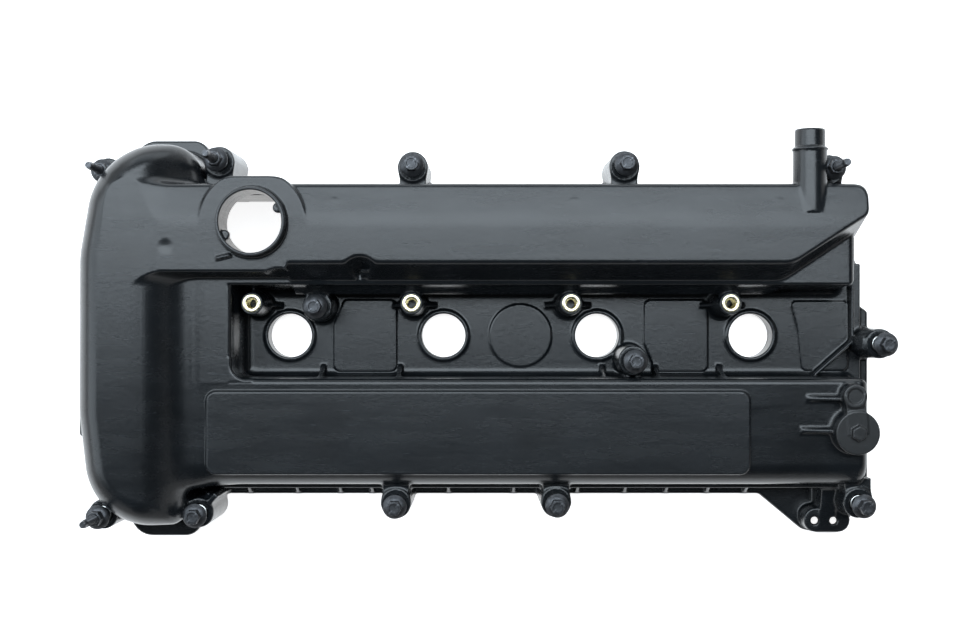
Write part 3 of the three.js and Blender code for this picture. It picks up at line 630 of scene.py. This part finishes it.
# ------------------------------------------------------------------ from the field to a mesh
def corner_slices(offset):
    return tuple(slice(1, None) if o else slice(None, -1) for o in offset)


def surface_net(m):
    """One vertex for each grid cell that the surface passes through, and the quads between them."""
    d = m.d
    offsets = [(i, j, k) for i in (0, 1) for j in (0, 1) for k in (0, 1)]
    inside = d < 0
    count = sum(inside[corner_slices(o)].astype(np.int8) for o in offsets)
    cells = np.argwhere((count > 0) & (count < 8))
    ids = np.full(count.shape, -1, np.int32)
    ids[tuple(cells.T)] = np.arange(len(cells))
    corner = {o: d[tuple((cells + o).T)] for o in offsets}
    total = np.zeros((len(cells), 3))
    hits = np.zeros(len(cells))
    for axis in range(3):
        for a in offsets:
            if a[axis]:
                continue
            b = tuple(1 if i == axis else v for i, v in enumerate(a))
            da, db = corner[a], corner[b]
            crossed = (da < 0) != (db < 0)
            t = da / np.where(crossed, da - db, 1)
            point = np.array(a, float)[None, :].repeat(len(cells), 0)
            point[:, axis] = t
            total[crossed] += point[crossed]
            hits += crossed
    start = np.array([axis[0] for axis in m.axes])
    vertices = (cells + total / hits[:, None]) * m.step + start
    quads = []
    for axis in range(3):
        u, v = (axis + 1) % 3, (axis + 2) % 3
        ahead = [slice(None)] * 3
        ahead[axis] = slice(1, None)
        behind = [slice(None)] * 3
        behind[axis] = slice(None, -1)
        change = inside[tuple(ahead)].astype(np.int8) - inside[tuple(behind)].astype(np.int8)
        for sign in (1, -1):
            edges = np.argwhere(change == sign)
            edges = edges[(edges[:, u] > 0) & (edges[:, v] > 0)]
            loop = []
            for du, dv in ((0, 0), (1, 0), (1, 1), (0, 1)):
                cell = edges.copy()
                cell[:, u] -= du
                cell[:, v] -= dv
                loop.append(ids[tuple(cell.T)])
            quads.append(np.stack(loop if sign < 0 else loop[::-1], 1))
    return vertices, np.concatenate(quads)


def mesh_from(name, vertices, quads):
    """A mesh from points in millimetres and rows of four point numbers."""
    mesh = bpy.data.meshes.new(name)
    mesh.vertices.add(len(vertices))
    mesh.vertices.foreach_set("co", ((vertices * MM) + np.array(ORIGIN)).astype(np.float32).ravel())
    mesh.loops.add(quads.size)
    mesh.loops.foreach_set("vertex_index", quads.astype(np.int32).ravel())
    mesh.polygons.add(len(quads))
    mesh.polygons.foreach_set("loop_start", np.arange(0, quads.size, 4, dtype=np.int32))
    mesh.update(calc_edges=True)
    mesh.validate()
    return mesh


def sample(d, at):
    """The field between its grid points."""
    base = np.clip(np.floor(at).astype(int), 0, np.array(d.shape) - 2)
    t = np.clip(at - base, 0, 1)
    value = np.zeros(len(at))
    for o in [(i, j, k) for i in (0, 1) for j in (0, 1) for k in (0, 1)]:
        weight = np.prod([t[:, n] if o[n] else 1 - t[:, n] for n in range(3)], axis=0)
        value += weight * d[tuple((base + o).T)]
    return value


def field_normals(m, mesh):
    """Surface directions at the mesh's vertices, from the slope of the field."""
    co = np.zeros(len(mesh.vertices) * 3, np.float32)
    mesh.vertices.foreach_get("co", co)
    start = np.array([axis[0] for axis in m.axes])
    at = ((co.reshape(-1, 3) - np.array(ORIGIN)) / MM - start) / m.step
    slope = np.zeros_like(at)
    for axis in range(3):
        for side in (1, -1):
            moved = at.copy()
            moved[:, axis] += 0.5 * side
            slope[:, axis] += side * sample(m.d, moved)
    return slope / np.maximum(np.linalg.norm(slope, axis=1, keepdims=True), 1e-9)


def moulded(name, m, budget):
    """The finished mesh of a field, with at most `budget` faces."""
    vertices, quads = surface_net(m)
    piece = add_piece(name, mesh_from(name, vertices, quads))
    thin(piece, budget)
    mesh = piece.data
    mesh.shade_smooth()
    mesh.normals_split_custom_set_from_vertices(field_normals(m, mesh).tolist())
    return piece


def thin(piece, faces):
    """The same surface with fewer triangles, closest together where it curves."""
    modifier = piece.modifiers.new("thin", "DECIMATE")
    modifier.ratio = min(1.0, faces / (2 * len(piece.data.polygons)))
    modifier.use_collapse_triangulate = True
    graph = bpy.context.evaluated_depsgraph_get()
    mesh = bpy.data.meshes.new_from_object(piece.evaluated_get(graph))
    piece.modifiers.clear()
    piece.data = mesh


def add_piece(name, mesh):
    piece = bpy.data.objects.new(name, mesh)
    bpy.context.scene.collection.objects.link(piece)
    return piece


# ------------------------------------------------------------------ turned hardware
def turned(name, rows, at, sides=60, smooth=35):
    """A solid of revolution about an upright axis. A row is (radius, height) or, where the
    section is a hexagon, (radius, height, distance from the axis to each flat)."""
    bm = bmesh.new()
    rings = []
    for row in rows:
        r, z = row[:2]
        if r == 0:
            rings.append([bm.verts.new((at.x, at.y, z * MM + ORIGIN.z))])
            continue
        ring = []
        for i in range(sides):
            a = 2 * math.pi * i / sides
            reach = r
            if len(row) == 3:
                off_flat = (a % (math.pi / 3)) - math.pi / 6
                reach = min(r, row[2] / math.cos(off_flat))
            ring.append(bm.verts.new((
                at.x + reach * MM * math.cos(a), at.y + reach * MM * math.sin(a), z * MM + ORIGIN.z)))
        rings.append(ring)
    for low, high in zip(rings, rings[1:]):
        for i in range(sides):
            j = (i + 1) % sides
            corners = [low[i % len(low)], low[j % len(low)], high[j % len(high)], high[i % len(high)]]
            unique = list(dict.fromkeys(corners))
            if len(unique) > 2:
                bm.faces.new(unique)
    bmesh.ops.remove_doubles(bm, verts=bm.verts, dist=1e-7)
    bmesh.ops.recalc_face_normals(bm, faces=bm.faces)
    mesh = bpy.data.meshes.new(name)
    bm.to_mesh(mesh)
    bm.free()
    piece = add_piece(name, mesh)
    mesh.shade_smooth()
    mesh.set_sharp_from_angle(angle=math.radians(smooth))
    return piece


def thread(r, low, high, pitch=1.0, depth=0.45):
    """Profile rows of a screw thread."""
    rows = []
    z = low
    while z < high - pitch / 2:
        rows += [(r - depth, z), (r - depth, z + 0.1 * pitch), (r, z + 0.5 * pitch), (r, z + 0.62 * pitch)]
        z += pitch
    return rows


SHANK_R, NECK_R, PLAIN_LENGTH = 2.95, 2.6, 7.0
BOLT_FLANGE_R, BOLT_FLANGE_H = 7.15, 2.2
HEX_R, HEX_FLAT, HEX_H = 4.9, 4.0, 6.6
STUD_R, STUD_H = 2.4, 22.0


def bolt(node):
    """A hex flange bolt with a thread, a neck for its retaining ring and, on some, a stud."""
    tip, top = heights(node)
    has_stud = node.startswith("stud_bolt")
    hex_top = top - (STUD_H if has_stud else 0)
    flange_top = hex_top - HEX_H
    seat = flange_top - BOLT_FLANGE_H
    ring_low, ring_high = heights("bolt_retainer_" + node.rsplit("_", 1)[1])
    plain = ring_low - PLAIN_LENGTH
    rows = [(0, tip), (1.9, tip), (2.5, tip + 0.7)]
    rows += thread(SHANK_R, tip + 0.8, plain - 1.4)
    rows += [(NECK_R, plain - 1), (SHANK_R, plain), (SHANK_R, ring_low - 0.5), (NECK_R, ring_low - 0.2),
             (NECK_R, ring_high + 0.2), (SHANK_R, ring_high + 0.5), (SHANK_R, seat)]
    rows += [(BOLT_FLANGE_R - 0.25, seat), (BOLT_FLANGE_R, seat + 0.25), (BOLT_FLANGE_R, seat + 0.75),
             (BOLT_FLANGE_R - 0.25, seat + 1.0), (5.4, flange_top - 0.1)]
    rows += [(HEX_R, flange_top + 0.2, HEX_FLAT), (HEX_R, hex_top - 0.9, HEX_FLAT),
             (4.62, hex_top - 0.45, HEX_FLAT), (4.0, hex_top - 0.05, HEX_FLAT - 0.05), (3.7, hex_top)]
    if has_stud:
        rows += [(3.2, hex_top), (2.9, hex_top + 0.5), (2.9, hex_top + 1.6), (2.1, hex_top + 2.2)]
        rows += thread(STUD_R, hex_top + 2.4, top - 3.4, pitch=0.8, depth=0.35)
        rows += [(2.0, top - 3.0), (2.0, top - 0.4), (1.7, top), (0, top)]
    else:
        rows += [(2.9, hex_top), (2.6, hex_top - 0.5), (0, hex_top - 0.7)]
    return turned(node + "_detail", rows, middle(node))


def sleeve(node):
    """A steel compression sleeve with rounded ends."""
    low, high = heights(node)
    r, bore = 5.15, 4.15
    rows = [(bore, low), (r - 0.3, low), (r, low + 0.3), (r, high - 0.5), (r - 0.15, high - 0.15),
            (r - 0.5, high), (bore + 0.4, high), (bore + 0.1, high - 0.2), (bore, high - 0.5), (bore, low)]
    return turned(node + "_detail", rows, middle(node))


def insert(node, r, flange_r, bore):
    """A threaded brass insert with a collar at the top."""
    low, high = heights(node)
    rows = [(bore, low), (r - 0.6, low), (r - 0.2, low + 0.8), (r - 0.2, high - 1.7),
            (flange_r - 0.1, high - 1.7), (flange_r, high - 1.5), (flange_r, high - 0.4),
            (flange_r - 0.15, high - 0.1), (flange_r - 0.5, high), (bore + 0.9, high),
            (bore + 0.5, high - 0.15), (bore, high - 0.9)]
    rows += reversed(thread(bore + 0.05, low + 1, high - 1.0, depth=-0.3))
    rows += [(bore, low)]
    return turned(node + "_detail", rows, middle(node), sides=48)


def well_seal(node):
    """A rubber ring with two lips below and a flat back."""
    low, high = heights(node)
    inner, outer = 14.1, 17.3
    rows = [(inner, low + 0.3), (inner + 0.3, low), (inner + 1.2, low), (inner + 1.6, low + 0.4),
            (outer - 1.2, low + 0.4), (outer - 0.9, low), (outer - 0.3, low), (outer, low + 0.3),
            (outer, high - 0.2), (outer - 0.2, high), (inner + 0.2, high), (inner, high - 0.2),
            (inner, low + 0.3)]
    return turned(node + "_detail", rows, middle(node), sides=80)


def retainer(node):
    """The nylon ring that keeps a bolt from dropping out, with chamfered edges."""
    low, high = heights(node)
    inner, outer, chamfer = 2.95, 3.8, 0.4
    rows = [(inner, low), (outer - 0.3, low), (outer, low + chamfer), (outer, high - chamfer),
            (outer - 0.3, high), (inner, high), (inner, low)]
    return turned(node + "_detail", rows, middle(node), sides=36)


def baffle_screw(node):
    """A small screw that goes in from below, with a domed head and a dimple in it."""
    low, high = heights(node)
    head = low + 2.3
    rows = [(0, low + 1.2), (0.9, low + 1.0), (1.0, low + 0.1), (2.4, low), (3.2, low + 0.5),
            (3.55, low + 1.4), (3.55, head - 0.1), (1.35, head)]
    rows += thread(1.38, head + 0.4, high - 0.8, pitch=0.8, depth=0.25)
    rows += [(0.5, high), (0, high)]
    return turned(node + "_detail", rows, middle(node), sides=36)


# ------------------------------------------------------------------ the sensor port plug
PLUG_THICK = 2.6
PLUG_HEX_FLAT = 4.0
PLUG_HEX_H = 6.0


def port_plug():
    """A push-in cap: a disc with a hex boss, and an arm that ends in a smaller screw-down lobe."""
    disc, ear = plug_places()
    low, high = heights("sensor_port_plug")
    seat = PORT_TOP + 0.3
    arm_top = seat + PLUG_THICK - 0.4
    m = Moulding([disc.x - 15, disc.y - 15, low - 1], [disc.x + 15, ear.y + 9, high + 1], PLUG_STEP)
    m.add(post(disc.x, disc.y, PLUG_R - 0.3, seat, seat + PLUG_THICK, edge=0.7), 0.5)
    m.add(post(ear.x, ear.y, EAR_R + 0.5, seat, seat + PLUG_THICK, edge=0.6), 0.5)
    m.add(rib((ear.x, ear.y), (disc.x, disc.y), seat, (arm_top, arm_top), 11.4), 1.5)
    m.add(post(disc.x, disc.y, PORT_BORE - 0.9, seat - 11, seat + 1, edge=0.5), 0.8)

    def hexagon(x, y, z):
        across = np.zeros(np.broadcast(x, y).shape, np.float32)
        for k in range(3):
            a = math.pi * k / 3
            across = np.maximum(across, np.abs((x - disc.x) * math.cos(a) + (y - disc.y) * math.sin(a)))
        return np.maximum(rounded(across - PLUG_HEX_FLAT, z - seat - PLUG_HEX_H, 0.7), seat - z)
    m.add((hexagon, (disc.x - 6, disc.y - 6, seat), (disc.x + 6, disc.y + 6, seat + PLUG_HEX_H)), 0.8)
    m.cut(post(ear.x, ear.y, 4.4, seat + 1.9, seat + 9, edge=0), 0.5)
    return moulded("sensor_port_plug_detail", m, PLUG_FACES)


# ------------------------------------------------------------------ materials
class Nodes:
    """A short way to lay out one material's node tree."""

    def __init__(self, name):
        self.material = bpy.data.materials.new(name)
        self.material.use_nodes = True
        self.tree = self.material.node_tree
        self.shader = self.tree.nodes["Principled BSDF"]
        coordinates = self.tree.nodes.new("ShaderNodeTexCoord")
        self.place = coordinates.outputs["Object"]

    def link(self, a, b):
        self.tree.links.new(a, b)

    def noise(self, scale, detail, roughness, stretch=None):
        """Noise with about `scale` blobs to the metre."""
        node = self.tree.nodes.new("ShaderNodeTexNoise")
        node.inputs["Scale"].default_value = scale
        node.inputs["Detail"].default_value = detail
        node.inputs["Roughness"].default_value = roughness
        place = self.place
        if stretch:
            mapping = self.tree.nodes.new("ShaderNodeMapping")
            mapping.inputs["Scale"].default_value = stretch
            self.link(place, mapping.inputs["Vector"])
            place = mapping.outputs["Vector"]
        self.link(place, node.inputs["Vector"])
        return node.outputs["Fac"]

    def ramp(self, source, stops):
        """Colours or greys at given values of the source."""
        node = self.tree.nodes.new("ShaderNodeValToRGB")
        elements = node.color_ramp.elements
        while len(elements) < len(stops):
            elements.new(0.5)
        for element, (at, value) in zip(elements, stops):
            element.position = at
            element.color = (*value, 1) if isinstance(value, tuple) else (value, value, value, 1)
        self.link(source, node.inputs["Fac"])
        return node.outputs["Color"]

    def mix(self, fac, a, b):
        """Colour a where fac is 0 and colour b where it is 1."""
        node = self.tree.nodes.new("ShaderNodeMix")
        node.data_type = "RGBA"
        for socket, value in ((node.inputs[0], fac), (node.inputs[6], a), (node.inputs[7], b)):
            if isinstance(value, (int, float, tuple)):
                socket.default_value = value
            else:
                self.link(value, socket)
        return node.outputs[2]

    def edges(self, low, high):
        """About 1 along worn outer edges, 0 elsewhere."""
        geometry = self.tree.nodes.new("ShaderNodeNewGeometry")
        return self.ramp(geometry.outputs["Pointiness"], [(low, 0.0), (high, 1.0)])

    def bump(self, height, distance, strength, before=None):
        node = self.tree.nodes.new("ShaderNodeBump")
        node.inputs["Distance"].default_value = distance
        node.inputs["Strength"].default_value = strength
        self.link(height, node.inputs["Height"])
        if before:
            self.link(before, node.inputs["Normal"])
        return node.outputs["Normal"]

    def finish(self, colour, roughness, normal=None, **fixed):
        """The material, with sources for the textured sockets and values for the uniform ones."""
        for socket, source in (("Base Color", colour), ("Roughness", roughness), ("Normal", normal)):
            if source is not None:
                self.link(source, self.shader.inputs[socket])
        for socket, value in fixed.items():
            self.shader.inputs[socket.replace("_", " ")].default_value = value
        return self.material


def moulded_nylon(name, dark, light, rough=(0.22, 0.3), grain=0.00004):
    """Glass-filled nylon: satin black with a fine grain, flow mottling, dust and thin scuffs."""
    n = Nodes(name)
    mottle = n.noise(28, 5, 0.6)
    grain_noise = n.noise(2600, 2, 0.6)
    colour = n.ramp(mottle, [(0.3, dark), (0.72, light)])
    dust = n.ramp(n.noise(160, 8, 0.75), [(0.64, 0.0), (0.86, 1.0)])
    colour = n.mix(dust, colour, (0.026, 0.029, 0.033, 1))
    scuff = n.ramp(n.noise(60, 6, 0.6, stretch=(1.0, 14.0, 3.0)), [(0.66, 0.0), (0.70, 1.0)])
    colour = n.mix(scuff, colour, (0.02, 0.023, 0.027, 1))
    colour = n.mix(n.edges(0.52, 0.62), colour, (0.025, 0.028, 0.032, 1))
    streaks = n.noise(110, 6, 0.65, stretch=(0.16, 1.0, 1.0))
    roughness = n.ramp(streaks, [(0.3, rough[0]), (0.7, rough[1])])
    coarse = n.bump(n.noise(420, 3, 0.6), 0.00012, 0.5)
    normal = n.bump(grain_noise, grain, 0.8, before=coarse)
    return n.finish(colour, roughness, normal)


def plated(name, dark, light, rough, metallic=1.0, grain=0.00002):
    """Turned and plated metal with fine turning lines and a little staining."""
    n = Nodes(name)
    colour = n.ramp(n.noise(500, 6, 0.7), [(0.3, dark), (0.7, light)])
    colour = n.mix(n.edges(0.55, 0.66), colour, tuple(min(1, c * 1.6) for c in light) + (1,))
    roughness = n.ramp(n.noise(900, 5, 0.7), [(0.3, rough[0]), (0.7, rough[1])])
    lines = n.noise(1500, 3, 0.6, stretch=(0.15, 0.15, 6.0))
    return n.finish(colour, roughness, n.bump(lines, grain, 0.6), Metallic=metallic)


def rubber(name):
    """Dull black rubber with a fine grain."""
    n = Nodes(name)
    colour = n.ramp(n.noise(300, 6, 0.7), [(0.3, (0.012, 0.012, 0.013)), (0.75, (0.035, 0.035, 0.037))])
    roughness = n.ramp(n.noise(600, 4, 0.6), [(0.3, 0.6), (0.7, 0.85)])
    return n.finish(colour, roughness, n.bump(n.noise(1800, 3, 0.6), 0.00004, 0.8))


LOOKS = {
    "cover_nylon": moulded_nylon("cover_nylon_look", (0.0045, 0.0056, 0.0068), (0.009, 0.011, 0.0132)),
    "baffle_nylon": moulded_nylon("baffle_nylon_look", (0.02, 0.02, 0.02), (0.035, 0.035, 0.036)),
    "plug_plastic": moulded_nylon("plug_plastic_look", (0.008, 0.0085, 0.009), (0.015, 0.016, 0.017),
                                  rough=(0.3, 0.42), grain=0.00003),
    "retainer_nylon": moulded_nylon("retainer_nylon_look", (0.55, 0.53, 0.48), (0.7, 0.68, 0.62)),
    "seal_rubber": rubber("seal_rubber_look"),
    "zinc_steel": plated("zinc_steel_look", (0.42, 0.43, 0.43), (0.72, 0.72, 0.7), (0.22, 0.4)),
    "brass": plated("brass_look", (0.62, 0.55, 0.34), (0.9, 0.84, 0.62), (0.16, 0.32)),
    "black_steel": plated("black_steel_look", (0.03, 0.031, 0.034), (0.085, 0.088, 0.095), (0.3, 0.5),
                          metallic=0.75),
}
BODIES = frame["record"]["behaviour"]["bodies"]
SLOT_OF = {s["node"]: s["material_slot"] for s in frame["record"]["subparts"]}


# ------------------------------------------------------------------ the assembly
def dress(piece, node):
    """Give a piece the look that its node's material slot asks for."""
    piece.data.materials.clear()
    piece.data.materials.append(LOOKS[SLOT_OF[node]])


def stand_for(piece, node):
    """The finished piece takes the place of its CAD node."""
    body = next(b for b, nodes in BODIES.items() if node in nodes)
    dress(piece, node)
    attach(piece, body)
    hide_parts(node)


def rounded_cad(node, width):
    """A CAD node that stays, with a moulding radius on its edges."""
    piece = bpy.data.objects[node]
    dress(piece, node)
    bevel = piece.modifiers.new("edge_radius", "BEVEL")
    bevel.width = width
    bevel.segments = 3
    bevel.limit_method = "ANGLE"
    bevel.angle_limit = math.radians(40)


stand_for(moulded("cover_moulding", cover_field(), COVER_FACES), "cover")
stand_for(port_plug(), "sensor_port_plug")
MAKERS = {
    "plug_well_seal": well_seal,
    "bolt_sleeve": sleeve,
    "bolt_retainer": retainer,
    "baffle_screw": baffle_screw,
    "coil_insert": lambda node: insert(node, 4.6, 5.5, 2.7),
    "sensor_port_insert": lambda node: insert(node, 3.6, 3.6, 2.5),
    "bolt": bolt,
    "stud_bolt": bolt,
}
for node in NODES:
    kind = node.rstrip("0123456789").rstrip("_")
    if kind in MAKERS:
        stand_for(MAKERS[kind](node), node)
rounded_cad("perimeter_gasket", 0.0006)
rounded_cad("breather_baffle", 0.0008)


# ------------------------------------------------------------------ stage, lights and camera
def light(name, at, aim, size, power, colour):
    """A rectangular area light of `power` watts."""
    data = bpy.data.lights.new(name, "AREA")
    data.shape = "RECTANGLE"
    data.size, data.size_y = size
    data.energy = power
    data.color = colour
    lamp = bpy.data.objects.new(name, data)
    lamp.location = at
    lamp.rotation_euler = (Vector(aim) - Vector(at)).to_track_quat("-Z", "Y").to_euler()
    bpy.context.scene.collection.objects.link(lamp)


TABLE_REACH = 9.0
TABLE_GAP = 0.0002  # between the sheet and the sealing face, so that they don't coincide
LEVEL_REACH = 3.5  # how far out the sheet lies flat before it curves up into a backdrop
BACKDROP_CURVE = 0.12


def light_table():
    """A wide pale sheet that glows softly, as a product photographer's table does."""
    bm = bmesh.new()
    bmesh.ops.create_grid(bm, x_segments=60, y_segments=60, size=TABLE_REACH)
    for vertex in bm.verts:
        vertex.co.z = BACKDROP_CURVE * max(0.0, vertex.co.xy.length - LEVEL_REACH) ** 2
    mesh = bpy.data.meshes.new("light_table")
    bm.to_mesh(mesh)
    bm.free()
    table = add_piece("light_table", mesh)
    table.location.z = cad_box[0].z - TABLE_GAP
    for name, glow in (("light_table_look", 0.9), ("backdrop_look", 0.4)):
        n = Nodes(name)
        colour = n.ramp(n.noise(6, 3, 0.5), [(0.3, 0.86), (0.7, 0.9)])
        n.finish(colour, n.ramp(n.noise(40, 3, 0.5), [(0.3, 0.6), (0.7, 0.7)]),
                 Emission_Color=(1, 1, 1, 1), Emission_Strength=glow)
        mesh.materials.append(n.material)
    for face in mesh.polygons:
        face.material_index = int(face.center.xy.length > LEVEL_REACH)


CAMERA_HEIGHT = 850.8  # above the sealing face, for a 50 mm lens
CAMERA_PLACE = Vector((-25.2, 10.0, CAMERA_HEIGHT))


def camera():
    """Straight above the cover, as the photograph was taken."""
    data = bpy.data.cameras.new("camera")
    data.lens = 50
    data.sensor_width = 36
    data.clip_start, data.clip_end = 0.01, 20
    eye = bpy.data.objects.new("camera", data)
    eye.location = ORIGIN + CAMERA_PLACE * MM
    bpy.context.scene.collection.objects.link(eye)
    bpy.context.scene.camera = eye


def sky(strength):
    """An even, faint light from all round."""
    world = bpy.data.worlds.new("studio")
    world.use_nodes = True
    background = world.node_tree.nodes["Background"]
    background.inputs["Color"].default_value = (1, 1, 1, 1)
    background.inputs["Strength"].default_value = strength
    bpy.context.scene.world = world


light_table()
COOL = (0.82, 0.92, 1.0)
light("overhead_softbox", (-0.2, 0.48, 1.5), (-0.2, 0.48, 0), (2.0, 0.86), 29, COOL)
light("back_panel", (0, 1.3, 0.6), (0, 0, 0.05), (2.4, 0.8), 10, COOL)
light("left_panel", (-1.2, 0.15, 0.75), (0, 0, 0.05), (1.2, 0.9), 9, COOL)
sky(0.02)
bpy.context.scene.view_settings.view_transform = "Standard"
camera()
